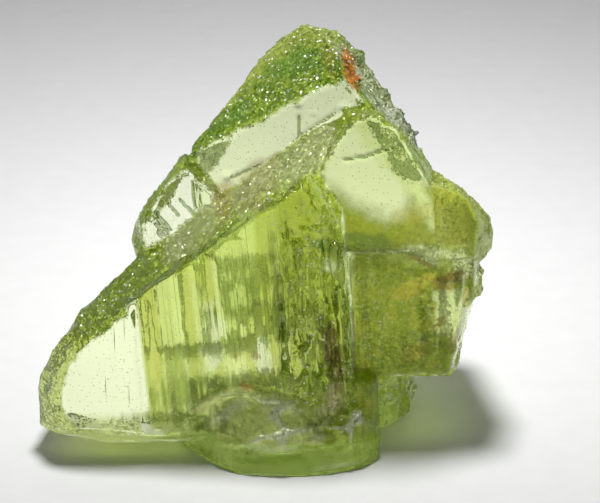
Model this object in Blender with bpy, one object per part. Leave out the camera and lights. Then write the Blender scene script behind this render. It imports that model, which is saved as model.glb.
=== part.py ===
"""A peridot crystal, as one solid: convex growths of flat faces, grown into one another, on a flat foot.

Lengths in the lists are in millimetres. +Z is up, and the broad striated face looks along -Y.
"""

import math

import bmesh
import bpy
import numpy as np
from mathutils import Euler, Matrix, Vector

MM = 0.001

# Driving sizes
BROAD_FACE_Y = -3.8  # the broad striated face in front
MIDDLE_FACE_Y = -1.3  # the face of the left shoulder
UPPER_FACE_Y = -0.7  # the clear face under the summit
SHIELD_FACE_Y = -3.0  # the clear face at the upper right
BLOCK_FACE_Y = -2.4  # the striated face at the lower right
BACK_FACE_Y = 5.2  # the clear face behind the summit and the shield
LEAN = math.radians(5.0)  # the striations lean this far to the left of upright
LEVEL_OF_WIDTHS = 4.0  # the height at which a column's place along X is read
BROAD_COLUMNS = (-4.65, 3.3)  # from where to where along X the columns of the broad face stand
BLOCK_COLUMNS = (3.7, 7.2)
ROUGH_COLUMNS_FROM = 1.0  # right of this place the columns are ragged
SMOOTH_COLUMN_WIDTHS = (0.35, 1.1)
ROUGH_COLUMN_WIDTHS = (0.26, 0.6)
SMOOTH_COLUMN_HEIGHTS = (0.03, 0.1)
ROUGH_COLUMN_HEIGHTS = (0.12, 0.34)
COLUMN_FRONT_SHARE = 0.6  # width of a column's front face, as a share of its half width at the root
COLUMN_ROOT = 0.25  # how deep a column's root reaches into the face
COLUMN_LIFT = (-0.15, 0.4)  # from the line where the striations end up to a column's lower end
SMOOTH_COLUMN_DROP = (0.12, 0.5)  # from the face's upper edge down to a column's top
ROUGH_COLUMN_DROP = (0.1, 2.4)
COLUMN_TOP_SHIFT = 0.4  # how far to the left of its middle a leaning column meets the upper edge
BLOCK_COLUMN_WIDTHS = (0.35, 0.8)
BLOCK_COLUMN_LOW_ENDS = (3.5, 4.2)
BLOCK_COLUMN_HIGH_ENDS = (7.4, 8.4)
SLOT_GAP = (0.3, 1.05)  # no column stands here, where the deeper slot is cut
STEP_COUNT = 3  # layers that make the stairs on the shoulder
STEP_SHIFT = (0.28, -0.36)  # from one layer's upper left corner to the next one's, in (x, z)
STEP_THICKNESS = 0.04
FIRST_STEP = (-4.55, 9.75)
LONGEST_ROUGH_EDGE = 1.25
ROUGHNESS_HEIGHT = 0.07
BROKEN_BACK_Y = 1.2  # behind this depth, and below the next height, the back is broken and much rougher
BROKEN_BACK_TOP = 7.8
BROKEN_BACK_HEIGHT = 0.22
FLAT_ENOUGH = 0.985  # a face whose normal is this near to Y, or straight down, stays a mirror-flat one
SEED = 11


def ring(y, outline):
    """Corners at one depth, from (x, z) pairs."""
    return [(x, y, z) for x, z in outline]


# The broad front plate, which reaches out to the left as a wing
WING = (
    ring(BROAD_FACE_Y, [(-8.1, 2.3), (-8.2, 3.7), (-7.5, 5.1), (-5.1, 7.1), (1.4, 11.9), (2.9, 9.3)])
    + ring(BROAD_FACE_Y, [(3.3, 1.5), (-4.7, 1.2), (-7.7, 1.4)])
    + [(-5.2, -1.2, 7.6), (-6.9, -1.8, 6.2), (-8.1, -3.0, 5.0), (-8.7, -2.8, 3.9), (-9.1, -2.6, 2.6)]
    + [(-9.0, -2.7, 1.1), (-8.5, -3.0, 0.9), (-6.4, -3.1, 0.5), (3.6, -2.6, 2.2), (3.7, -2.6, 0.5)]
    + [(2.1, -1.2, 13.3), (3.1, -1.3, 13.9)]
    + ring(0.9, [(-5.6, 5.6), (-8.0, 3.3), (-8.2, 1.0), (-6.4, 0.35), (3.9, 0.4), (3.8, 9.4), (-0.6, 10.0)])
)

# The clear pane in front of the wing, a thin layer whose right edge is the step where the striations start
PANE = ring(
    -3.95, [(-7.3, 4.95), (-5.15, 6.8), (-4.85, 1.4), (-7.55, 1.6), (-7.95, 2.4), (-8.0, 3.6)]
) + ring(-3.6, [(-7.5, 5.0), (-5.15, 7.0), (-4.8, 1.3), (-7.7, 1.4), (-8.1, 2.3), (-8.15, 3.7)])

# The shoulder behind the wing, at the left
SHOULDER = (
    ring(MIDDLE_FACE_Y, [(-3.1, 11.9), (-2.0, 10.6), (-1.0, 7.7), (-4.8, 6.4), (-4.8, 9.2), (-4.0, 10.8)])
    + [(-3.2, -0.5, 12.0), (-4.1, -0.5, 10.6), (-5.2, -0.4, 9.0), (-5.3, -0.4, 8.2), (-5.1, -0.4, 7.2)]
    + ring(2.3, [(-3.2, 10.6), (-4.1, 9.2), (-4.9, 7.6), (-5.0, 5.2), (-4.4, 2.6), (-0.7, 2.6), (-0.2, 8.7)])
)

# The short column at the broad face's lower right, under the block
COLUMN = (
    ring(-3.5, [(3.1, 0.9), (4.0, 0.9), (4.0, 3.4), (3.1, 3.4)])
    + [(4.4, -3.1, 0.8), (4.4, -3.1, 3.3), (4.6, -2.4, 0.7), (4.5, -2.4, 3.2)]
    + ring(0.4, [(3.0, 0.9), (4.5, 0.7), (4.4, 3.2), (3.0, 3.2)])
)

# The highest plate, with its steep frosted slope up to the summit
SUMMIT = (
    ring(UPPER_FACE_Y, [(-2.7, 8.8), (-2.5, 12.2), (3.1, 15.3), (3.9, 14.3), (4.7, 13.3), (5.3, 11.8)])
    + [(4.6, UPPER_FACE_Y, 6.6)]
    + [(-2.9, -0.5, 12.1), (-2.2, -0.1, 12.75), (-1.2, 0.9, 13.8), (-0.1, 2.0, 15.0), (0.6, 2.5, 15.7)]
    + [(1.4, 2.5, 16.2), (2.3, 2.1, 16.3), (2.9, 2.0, 16.1), (3.6, 1.6, 15.5), (4.3, 1.2, 14.4)]
    + [(5.1, 0.8, 13.3), (5.8, 0.6, 12.1), (6.3, 0.3, 11.3)]
    + ring(BACK_FACE_Y, [(-2.5, 6.6), (-2.7, 9.1), (-2.1, 10.1), (-1.2, 11.5), (-0.1, 13.1), (0.7, 13.9)])
    + ring(BACK_FACE_Y, [(1.6, 14.3), (2.7, 14.1), (3.6, 13.2), (4.3, 12.1), (5.0, 10.9), (5.6, 9.7)])
    + [(5.4, BACK_FACE_Y, 6.9), (4.4, 3.8, 3.0), (-2.0, 3.8, 2.6)]
)

# The clear shield at the upper right, in front of the summit's plate
SHIELD = (
    ring(
        SHIELD_FACE_Y,
        [(1.5, 11.1), (3.4, 14.3), (4.1, 14.6), (5.1, 14.0), (6.0, 12.4), (6.6, 11.1), (6.7, 9.1)]
        + [(5.4, 8.85), (3.2, 8.95), (2.1, 9.3), (1.6, 9.9)],
    )
    + [(1.4, -2.6, 11.3), (3.1, -1.6, 14.2), (5.1, -1.2, 14.0), (5.7, -1.2, 12.8), (6.2, -1.2, 11.9)]
    + [(6.7, -1.0, 11.3)]
    + ring(BACK_FACE_Y, [(2.6, 9.0), (4.2, 11.6), (5.7, 9.7), (6.4, 8.8), (6.8, 7.8), (6.7, 6.8), (4.8, 6.8)])
    + ring(3.0, [(7.0, 5.2), (3.1, 5.2)])
)

# The rounded lobe at the far right
LOBE = (
    ring(-2.6, [(6.3, 11.5), (7.8, 10.9), (8.3, 9.9), (8.2, 8.5), (6.3, 8.3)])
    + [(6.7, -0.8, 11.3), (7.6, -0.8, 10.7), (8.4, -0.6, 10.0), (9.0, -0.3, 9.1), (9.1, -0.2, 8.4)]
    + [(9.0, -0.3, 7.8), (8.6, -0.8, 7.4)]
    + ring(4.6, [(6.5, 8.6), (7.4, 8.1), (8.0, 7.3), (7.8, 6.2), (6.4, 5.6)])
)

# The striated block at the lower right, which hangs clear of the ground
BLOCK = (
    ring(BLOCK_FACE_Y, [(3.0, 8.6), (7.9, 8.4), (7.8, 6.7), (7.3, 4.7), (7.3, 3.5), (3.2, 3.3)])
    + [(8.2, -0.8, 7.4), (8.3, -0.8, 5.9), (8.1, -0.8, 5.3), (7.7, -0.8, 4.2), (7.7, -1.0, 2.7)]
    + [(7.4, -1.6, 2.7), (5.4, -1.8, 2.8)]
    + ring(4.8, [(3.6, 6.8), (6.6, 6.4), (7.2, 5.2), (6.9, 3.6), (6.2, 2.6), (3.7, 2.2)])
)
KNOB = (
    ring(-2.1, [(6.6, 8.2), (8.2, 7.9), (8.25, 6.4), (7.0, 5.8)])
    + [(8.6, -0.8, 7.3), (8.65, -0.8, 6.2), (8.35, -0.8, 5.8)]
    + ring(2.6, [(6.2, 7.0), (7.9, 6.5), (7.8, 5.2), (6.4, 4.6)])
)

# The foot, and the heel behind it, which are the parts that touch the ground
FOOT = (
    [(-3.4, -2.2, 0), (-2.0, -4.0, 0), (-1.0, -4.8, 0), (0.2, -5.0, 0), (1.4, -5.0, 0), (2.6, -4.8, 0)]
    + [(3.8, -4.3, 0), (4.5, -3.7, 0), (4.7, 2.6, 0), (-1.4, 3.0, 0)]
    + [(-3.1, -2.9, 0.8), (-1.7, -4.3, 1.1), (0.2, -4.8, 1.3), (2.6, -4.7, 1.3), (3.9, -4.3, 1.2)]
    + [(4.6, -3.4, 1.0), (-2.0, -3.75, 2.6), (3.2, -3.75, 2.8), (-1.6, 3.4, 1.5), (4.5, 3.0, 1.6)]
)
HEEL = (
    [(3.2, -1.0, 0), (4.8, -1.0, 0), (5.3, -0.5, 0), (5.9, 0.3, 0), (6.1, 1.5, 0), (5.7, 3.2, 0)]
    + [(3.4, 3.8, 0), (3.0, -1.0, 3.2), (4.6, -1.0, 3.2), (5.5, -0.6, 3.1), (6.0, 0.2, 3.1)]
    + [(6.2, 1.3, 3.0), (5.9, 3.4, 3.0), (3.2, 4.0, 3.0)]
)

# Deep slots in the broad face, as (x, z) of the mouth's two ends, the mouth's width and the depth
SLOTS = [((0.55, 9.2), (0.85, 3.6), 0.5, 1.0), ((2.55, 7.0), (2.85, 2.9), 0.6, 0.7)]
SLOT_END_SLOPES = (1.0, 0.7)  # how much shorter a slot is at its inner edge, at the top and at the bottom

# Shell-shaped hollows broken out of the foot's upper slope, as centre and half-lengths
HOLLOWS = [
    ((-1.0, -5.1, 2.7), (1.9, 1.5, 1.35)),
    ((0.9, -5.3, 2.5), (1.1, 1.4, 1.2)),
    ((2.2, -4.9, 2.5), (0.9, 1.1, 1.0)),
]

# Lines of broken edge, each as the corners of a path, with how many small blocks stick out along it
BROKEN_EDGES = [
    ([(2.6, 1.7, 15.9), (3.5, 1.4, 15.3), (4.25, 1.0, 14.3), (5.0, 0.7, 13.2), (6.0, 0.4, 11.7)], 24),
    ([(8.4, -0.8, 6.9), (8.05, -0.6, 5.6), (7.6, -0.7, 4.1), (7.45, -0.9, 3.0)], 13),
]
BLOCK_HALF_SIZES = (0.12, 0.32)


def clear_scene():
    for obj in list(bpy.data.objects):
        bpy.data.objects.remove(obj, do_unlink=True)


def add_object(name, build):
    """A new object from the shape that build(bm) leaves in a bmesh, with its normals outwards."""
    bm = bmesh.new()
    build(bm)
    bmesh.ops.recalc_face_normals(bm, faces=bm.faces)
    mesh = bpy.data.meshes.new(name)
    bm.to_mesh(mesh)
    bm.free()
    obj = bpy.data.objects.new(name, mesh)
    bpy.context.scene.collection.objects.link(obj)
    return obj


def hull(name, corners):
    """The convex solid that has these corners, given in millimetres."""

    def build(bm):
        points = [bm.verts.new(Vector(corner) * MM) for corner in corners]
        made = bmesh.ops.convex_hull(bm, input=points)
        inside = [item for item in made["geom_interior"] if isinstance(item, bmesh.types.BMVert)]
        bmesh.ops.delete(bm, geom=inside, context="VERTS")
        bmesh.ops.dissolve_limit(bm, angle_limit=math.radians(0.5), verts=bm.verts, edges=bm.edges)

    return add_object(name, build)


def ellipsoid(name, centre, half_lengths):
    def build(bm):
        matrix = Matrix.Translation(Vector(centre) * MM) @ Matrix.Diagonal(Vector(half_lengths) * MM).to_4x4()
        bmesh.ops.create_icosphere(bm, subdivisions=3, radius=1.0, matrix=matrix)

    return add_object(name, build)


def top_of_broad_face(x):
    """Height of the broad face's upper edge, which climbs to its corner at x = 1.4 and falls after it."""
    return float(np.interp(x, [-7.5, -5.1, 1.4, 3.1, 3.6], [5.1, 7.1, 11.9, 9.3, 8.5]))


def column(name, x, width, proud, low, high, face_y):
    """An upright bar with a trapezoid section, standing proud of the face at face_y and leaning to the left."""
    corners = []
    for z in (low, high):
        middle = x - (z - LEVEL_OF_WIDTHS) * math.tan(LEAN)
        for half in (-width / 2, width / 2):
            corners.append((middle + half * COLUMN_FRONT_SHARE, face_y - proud, z))
            corners.append((middle + half, face_y + COLUMN_ROOT, z + 0.05))
    return hull(name, corners)


def bottom_of_columns(x):
    """Height where the broad face's striations end: low at the left, over the broken slope at the right."""
    return float(np.interp(x, [-4.6, -3.4, -2.2, 3.3], [1.35, 1.6, 2.7, 2.9]))


def broad_columns(random):
    """The striations of the broad face: wide and low at the left, and ragged at the right."""
    made = []
    x, end = BROAD_COLUMNS
    while x < end:
        rough = x > ROUGH_COLUMNS_FROM
        width = random.uniform(*(ROUGH_COLUMN_WIDTHS if rough else SMOOTH_COLUMN_WIDTHS))
        proud = random.uniform(*(ROUGH_COLUMN_HEIGHTS if rough else SMOOTH_COLUMN_HEIGHTS))
        low = bottom_of_columns(x) + random.uniform(*COLUMN_LIFT)
        middle = x + width / 2
        drop = random.uniform(*(ROUGH_COLUMN_DROP if rough else SMOOTH_COLUMN_DROP))
        high = top_of_broad_face(middle - COLUMN_TOP_SHIFT) - drop
        if not SLOT_GAP[0] < middle < SLOT_GAP[1]:
            made.append(column(f"column_{len(made)}", middle, width, proud, low, high, BROAD_FACE_Y))
        x += width * random.uniform(1.0, 1.3)
    return made


def block_columns(random):
    """The striations of the block's face, low and with wider gaps."""
    made = []
    x, end = BLOCK_COLUMNS
    while x < end:
        width = random.uniform(*BLOCK_COLUMN_WIDTHS)
        proud = random.uniform(*SMOOTH_COLUMN_HEIGHTS)
        low, high = random.uniform(*BLOCK_COLUMN_LOW_ENDS), random.uniform(*BLOCK_COLUMN_HIGH_ENDS)
        made.append(column(f"block_column_{len(made)}", x + width / 2, width, proud, low, high, BLOCK_FACE_Y))
        x += width * random.uniform(1.1, 1.6)
    return made


def etched_steps():
    """Thin layers on the shoulder's face, each set down and to the right of the last, which makes stairs."""
    layers = []
    for step in range(STEP_COUNT):
        left, top = (start + shift * step for start, shift in zip(FIRST_STEP, STEP_SHIFT))
        front = MIDDLE_FACE_Y - STEP_THICKNESS * (step + 1)
        outline = [(left, top), (-2.35, top - 0.25), (-1.6, 7.6), (left + 0.15, 6.9)]
        layers.append(hull(f"layer_{step}", ring(front, outline) + ring(MIDDLE_FACE_Y + 0.2, outline)))
    return layers


def broken_edges():
    """Small turned blocks, half sunk along the broken edges."""
    random = np.random.default_rng(SEED + 2)
    made = []
    for path, count in BROKEN_EDGES:
        path = np.array(path)
        for place in np.linspace(0.0, len(path) - 1.0, count):
            centre = [np.interp(place, range(len(path)), path[:, axis]) for axis in range(3)]
            turn = Euler(random.uniform(-0.6, 0.6, 3)).to_matrix()
            half = random.uniform(*BLOCK_HALF_SIZES, 3)
            corners = [
                Vector(centre) + turn @ Vector((half[0] * i, half[1] * j, half[2] * k))
                for i in (-1, 1)
                for j in (-1, 1)
                for k in (-1, 1)
            ]
            made.append(hull(f"chip_{len(made)}", corners))
    return made


def slots():
    """Wedges that cut the dark upright slots: a wide mouth in front of the face and a sharp inner edge."""
    made = []
    for index, ((x_top, z_top), (x_low, z_low), width, depth) in enumerate(SLOTS):
        mouth, floor = BROAD_FACE_Y - 0.6, BROAD_FACE_Y + depth
        corners = [(x_top - width / 3, mouth, z_top), (x_top + width / 3, mouth, z_top)]
        corners += [(x_low - width / 2, mouth, z_low), (x_low + width / 2, mouth, z_low)]
        corners += [(x_top, floor, z_top - SLOT_END_SLOPES[0]), (x_low, floor, z_low + SLOT_END_SLOPES[1])]
        made.append(hull(f"slot_{index}", corners))
    return made


def combine(target, others, operation):
    """Joins or cuts with every helper at once, and leaves the result as the target's mesh."""
    helpers = bpy.data.collections.new(operation.lower())
    for obj in others:
        obj.hide_render = True
        obj.display_type = "WIRE"
        helpers.objects.link(obj)
    modifier = target.modifiers.new(operation.title(), "BOOLEAN")
    modifier.operation = operation
    modifier.solver = "EXACT"
    modifier.operand_type = "COLLECTION"
    modifier.collection = helpers
    graph = bpy.context.evaluated_depsgraph_get()
    result = bpy.data.meshes.new_from_object(target.evaluated_get(graph))
    target.modifiers.clear()
    target.data = result
    for obj in others:
        bpy.data.objects.remove(obj, do_unlink=True)
    bpy.data.collections.remove(helpers)


def is_flat(face):
    return abs(face.normal.y) > FLAT_ENOUGH or face.normal.z < -FLAT_ENOUGH


def roughen(obj):
    """Splits the long edges of the frosted and broken faces, and moves their points in or out at random."""
    random = np.random.default_rng(SEED + 1)
    bm = bmesh.new()
    bm.from_mesh(obj.data)
    bmesh.ops.triangulate(bm, faces=bm.faces)
    for _ in range(5):
        rough = {edge for face in bm.faces if not is_flat(face) for edge in face.edges}
        edges = [edge for edge in rough if edge.calc_length() > LONGEST_ROUGH_EDGE * MM]
        if not edges:
            break
        bmesh.ops.subdivide_edges(bm, edges=edges, cuts=1)
        bmesh.ops.triangulate(bm, faces=bm.faces)
    bm.normal_update()
    free = [vert for vert in bm.verts if not any(is_flat(face) for face in vert.link_faces)]
    for vert, move in zip(free, random.uniform(-1.0, 1.0, len(free))):
        broken_back = vert.co.y > BROKEN_BACK_Y * MM and vert.co.z < BROKEN_BACK_TOP * MM
        height = BROKEN_BACK_HEIGHT if broken_back else ROUGHNESS_HEIGHT
        vert.co += vert.normal * float(move) * height * MM
    bm.to_mesh(obj.data)
    bm.free()


def centre_over_foot(obj):
    """Puts the middle of the outline's box over the origin, with the lowest face at height zero."""
    corners = np.array([vert.co for vert in obj.data.vertices])
    low, high = corners.min(axis=0), corners.max(axis=0)
    obj.data.transform(Matrix.Translation((-(low[0] + high[0]) / 2, -(low[1] + high[1]) / 2, -low[2])))


def crystal_material():
    material = bpy.data.materials.new("peridot_green")
    material.use_nodes = True
    surface = material.node_tree.nodes["Principled BSDF"]
    surface.inputs["Base Color"].default_value = (0.46, 0.60, 0.12, 1.0)
    surface.inputs["Roughness"].default_value = 0.12
    surface.inputs["Metallic"].default_value = 0.0
    surface.inputs["IOR"].default_value = 1.67
    surface.inputs["Transmission Weight"].default_value = 0.6
    return material


def main():
    clear_scene()
    crystal = hull("peridot_crystal", WING)
    growths = {
        "pane": PANE,
        "shoulder": SHOULDER,
        "column": COLUMN,
        "summit": SUMMIT,
        "shield": SHIELD,
        "lobe": LOBE,
        "block": BLOCK,
        "knob": KNOB,
        "foot": FOOT,
        "heel": HEEL,
    }
    random = np.random.default_rng(SEED)
    added = [hull(name, corners) for name, corners in growths.items()]
    added += broad_columns(random) + block_columns(random) + etched_steps() + broken_edges()
    combine(crystal, added, "UNION")
    cuts = slots() + [ellipsoid(f"hollow_{i}", *hollow) for i, hollow in enumerate(HOLLOWS)]
    combine(crystal, cuts, "DIFFERENCE")
    roughen(crystal)
    centre_over_foot(crystal)
    crystal.data.materials.clear()
    crystal.data.materials.append(crystal_material())


main()
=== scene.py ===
"""A peridot crystal on a pale floor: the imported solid, remeshed, carved, painted and made clear."""

import math
from types import SimpleNamespace

import bpy
import numpy as np
from bpy.props import FloatProperty, FloatVectorProperty, IntProperty, PointerProperty
from mathutils import Matrix, Vector


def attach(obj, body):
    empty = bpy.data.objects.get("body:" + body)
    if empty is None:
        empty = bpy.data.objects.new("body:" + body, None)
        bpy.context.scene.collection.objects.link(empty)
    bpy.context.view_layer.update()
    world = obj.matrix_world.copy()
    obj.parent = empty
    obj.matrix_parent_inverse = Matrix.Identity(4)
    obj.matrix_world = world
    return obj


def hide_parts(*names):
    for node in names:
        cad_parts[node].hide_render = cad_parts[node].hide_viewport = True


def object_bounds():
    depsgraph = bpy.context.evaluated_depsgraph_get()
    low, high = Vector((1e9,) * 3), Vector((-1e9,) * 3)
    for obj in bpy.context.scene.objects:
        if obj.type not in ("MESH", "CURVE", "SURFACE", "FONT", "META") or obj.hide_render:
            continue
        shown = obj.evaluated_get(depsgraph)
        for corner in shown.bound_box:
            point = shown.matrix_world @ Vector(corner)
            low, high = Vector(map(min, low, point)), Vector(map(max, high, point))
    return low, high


bl_info = {
    "name": "Peridot Crystal",
    "version": (1, 0, 0),
    "blender": (4, 5, 0),
    "location": "3D View > Sidebar > Crystal",
    "description": "Builds a peridot crystal with etched and striated faces, its material and its stage",
    "category": "Add Mesh",
}

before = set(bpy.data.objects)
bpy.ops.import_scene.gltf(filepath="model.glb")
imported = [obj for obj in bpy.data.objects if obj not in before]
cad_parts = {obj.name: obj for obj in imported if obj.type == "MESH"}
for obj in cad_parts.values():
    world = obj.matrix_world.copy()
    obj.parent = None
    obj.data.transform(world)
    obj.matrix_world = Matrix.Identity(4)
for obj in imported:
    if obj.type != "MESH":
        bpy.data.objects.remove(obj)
CAD_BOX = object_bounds()
NODE = "peridot_crystal"
MM = 0.001
MOST_TRIANGLES = 190_000
WELD_DISTANCE = 0.0001 * MM

# The places below are in the millimetres that the crystal was drawn in, before it was centred on its foot
DRAWN_LOW_CORNER = np.array([-9.072, -5.0, 0.0])
DRAWN_OFFSET = np.array(CAD_BOX[0]) / MM - DRAWN_LOW_CORNER

# The camera's target, tilt, lens and sensor
CAMERA_TARGET = np.array([1.4, 0.0, 7.5])
CAMERA_TILT = math.radians(25.0)
CAMERA_LENS, CAMERA_SENSOR = 165.0, 36.0
SIGHT_SLOPE = math.tan(CAMERA_TILT)

# The striations' slope to the left of upright, and the height where the place across them is read
LEAN = math.tan(math.radians(5.0))
UPRIGHT_LEVEL = 4.0

# The thin line along the frosted band's upper edge and the pane's longest one, as paths of (x, z)
BAND_LINE = [(-1.3, 11.0), (0.45, 11.85), (1.4, 12.75), (2.75, 13.72)]
PANE_LINE = [(-5.85, 6.1), (-5.75, 1.9)]

# Thin grooves on the clear faces, as a path of (x, z), half-width and depth
GROOVES = [
    ([(1.36, 13.6), (1.36, 12.1)], 0.07, 0.10),
    (BAND_LINE, 0.06, 0.07),
    ([(3.1, 12.76), (3.8, 12.84), (4.45, 13.09), (5.2, 13.36)], 0.07, 0.08),
    ([(-6.2, 5.8), (-6.05, 2.0)], 0.06, 0.03),
    (PANE_LINE, 0.06, 0.05),
    ([(-5.35, 6.5), (-5.2, 1.9)], 0.05, 0.02),
]
# Hair lines on the clear faces, as paths of (x, z), and how far from them their attribute fades out
HAIR_LINES = [
    [(1.36, 13.6), (1.36, 12.0)],
    [(1.36, 12.9), (1.46, 12.3)],
    BAND_LINE,
    [(3.1, 12.76), (3.8, 12.84), (4.45, 13.09), (5.0, 13.25)],
    PANE_LINE,
    [(-5.45, 6.4), (-5.3, 1.9)],
    [(-6.3, 5.6), (-6.2, 2.2)],
]
LINE_REACH = 0.3

# Stairs of hair lines on the shoulder, as the x and z of their upper left end and their number of steps
STAIRS = [
    (-4.45, 10.1, 6),
    (-4.35, 9.75, 6),
    (-4.3, 9.4, 6),
    (-4.2, 9.0, 4),
    (-3.75, 10.2, 3),
    (-3.3, 10.4, 4),
    (-2.95, 10.0, 3),
]
STAIR_RUN, STAIR_DROP = 0.14, 0.17
STAIR_SLANT = 0.4  # the share of each step's run that slants down

# Round knobs on the clear faces, as x, z, radius and height
KNOBS = [
    (1.32, 14.13, 0.17, 0.06),
    (3.03, 14.02, 0.15, 0.06),
    (-1.45, 11.1, 0.2, 0.08),
    (1.9, 13.75, 0.1, 0.05),
]

# Where the parts of the crystal begin and end. Each soft edge is an axis, the place along it where the
# part's mask is 0, and the place where it is 1. zones() says what the axes are.
SOFT_EDGES = {
    "broad": [("upright", -4.75, -4.6), ("upright", 3.6, 3.4), ("y", -3.2, -3.4), ("z", 1.2, 2.0)],
    "rough": [("upright", 0.9, 1.3)],
    "pane_step": [("from_pane_edge", 0.4, 0.3), ("y", -3.4, -3.6)],
    "pane_foot": [("y", -3.7, -3.8), ("upright", -4.9, -5.1), ("z", 2.4, 1.8)],
    "wing": [("z", 6.0, 4.0)],
    "wing_end": [("along_wing", -6.4, -7.0)],
    "wing_foot": [("z", 1.7, 1.3), ("x", -3.4, -3.9)],
    "band": [("y", -0.6, -1.0), ("x", 3.4, 2.6), ("z", 5.0, 6.0)],
    "slope": [("y", -0.9, -0.5), ("z", 11.2, 12.0)],
    "broken": [("x", 2.0, 2.2), ("cloudy_rear", 2.4, -0.6)],
    "broken_top": [("as_seen", 11.4, 11.9)],
    "shield": [("y", -2.6, -2.9), ("y", -3.5, -3.2), ("z", 8.7, 8.9), ("x", 1.2, 1.6)],
    "shoulder": [("x", 5.2, 6.0), ("x", 8.5, 8.1), ("y", -1.9, -2.2), ("z", 8.9, 9.3), ("z", 12.2, 11.2)],
    "healed": [("x", 3.9, 4.4), ("x", 8.2, 7.8), ("z", 8.2, 8.5), ("z", 12.4, 11.6), ("y", -1.7, -2.1)],
    "lobe": [("x", 6.5, 7.0), ("cloudy_y", 1.0, -1.2), ("z", 7.4, 8.2), ("cloudy_z", 12.4, 11.4)],
    "block": [("x", 3.4, 3.6), ("y", -1.9, -2.1), ("z", 8.9, 8.5)],
    "block_left": [("x", 5.2, 4.4)],
    "shell": [("z", 0.9, 1.3), ("y", -3.5, -3.9), ("x", -4.2, -3.8)],
    "foot": [("z", 1.5, 1.1), ("y", -0.2, -0.6)],
    "underside": [("z", 0.1, 0.3)],
    "rear_slope": [("y", 2.0, 2.6), ("from_summit", 2.6, 3.2), ("z", 8.0, 8.8)],
    "rear_ledge": [("y", 0.0, 0.6), ("z", 8.6, 8.0), ("x", -5.6, -5.0), ("x", 4.2, 3.6)],
    "rear_bars": [("upright", -4.5, -4.1), ("z", 9.0, 8.0)],
    "front_half": [("y", 1.4, 0.8)],
    "rear_half": [("y", 0.8, 1.4)],
}
PANE_EDGE, SUMMIT_X = -4.75, 1.6

# How far the normal of a mirror-flat face has to reach to the front, back, bottom or side
FRONT_FACE, BACK_FACE, UNDER_FACE, SIDE_FACE = (0.90, 0.975), (0.93, 0.985), (0.75, 0.95), (0.80, 0.95)

# The lower edge of the shield's clear part, as x and z: under it the crystal is milky
MILKY_EDGE_X = [1.5, 2.75, 3.8, 4.7, 5.6, 6.3, 6.9]
MILKY_EDGE_Z = [12.2, 11.25, 10.6, 10.1, 10.4, 10.9, 11.6]

# The clear wedge at the shield's upper right: a point of its edge, and the way across that edge
WEDGE_X, WEDGE_Z, WEDGE_ACROSS = 3.2, 14.4, (0.81, 0.59)

# The upper edge of the shell-shaped break over the foot, as x and z
SHELL_X = [-4.0, -3.2, -2.5, -1.5, 0.0, 1.5, 2.7]
SHELL_TOP = [1.4, 2.1, 3.1, 3.45, 3.2, 2.8, 2.5]

# The left edge of the broken strip under the summit, as x and the height seen from the front
BROKEN_X = [2.1, 3.5, 4.7, 6.0]
BROKEN_HEIGHT = [17.2, 14.8, 13.1, 11.8]

# The summit slope: a point of its lower edge, that edge's rise to the right, and the slope's height by x
SLOPE_LEFT, SLOPE_LEFT_Z, SLOPE_RISE = -2.5, 12.2, 0.55
SLOPE_X = [-2.9, -0.1, 1.4, 3.0]
SLOPE_HEIGHT = [0.2, 1.5, 1.85, 1.0]

# The middle of the frosted band's silvery part, as a path of (x, z)
SILVER_LINE = [(-3.6, 9.0), (-2.2, 10.4), (-0.6, 11.6), (0.9, 12.3), (2.3, 13.2)]

# Colours that the crystal's parts let through
CLEAR = (1.0, 1.0, 1.0)
WHITISH = (0.97, 1.0, 0.85)
FROST = (0.56, 0.68, 0.04)
PALE_RIM = (0.74, 0.84, 0.22)
SUMMIT_GREEN = (0.15, 0.29, 0.004)
SUMMIT_DEEP_GREEN = (0.10, 0.28, 0.01)
BAND_SILVER = (0.86, 0.80, 0.58)
BAND_GREEN = (0.24, 0.40, 0.01)
BROAD_LIME = (0.76, 0.86, 0.24)
BROAD_OLIVE = (0.46, 0.52, 0.02)
ROUGH_OLIVE = (0.34, 0.40, 0.01)
BLOCK_OLIVE = (0.27, 0.35, 0.01)
BLOCK_OCHRE = (0.50, 0.46, 0.02)
BLOCK_DARK = (0.14, 0.20, 0.01)
LOBE_LIME = (0.78, 0.90, 0.18)
LOBE_OCHRE = (0.60, 0.60, 0.03)
SHOULDER_LIME = (0.70, 0.76, 0.08)
SHOULDER_OCHRE = (0.56, 0.46, 0.02)
SHIELD_MILK = (0.44, 0.52, 0.01)
SHIELD_DARK_MILK = (0.30, 0.34, 0.01)
SHIELD_CLEAR = (0.94, 1.0, 0.55)
BROKEN_WHITE = (0.98, 1.0, 0.90)
SHELL_LIME = (0.97, 1.0, 0.42)
SHELL_OLIVE = (0.40, 0.48, 0.04)
SHELL_DARK = (0.22, 0.28, 0.02)
FOOT_GREEN = (0.62, 0.80, 0.10)
REAR_SLOPE_LIME = (0.90, 1.0, 0.60)
REAR_LEDGE_LIME = (0.92, 1.0, 0.50)

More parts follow.
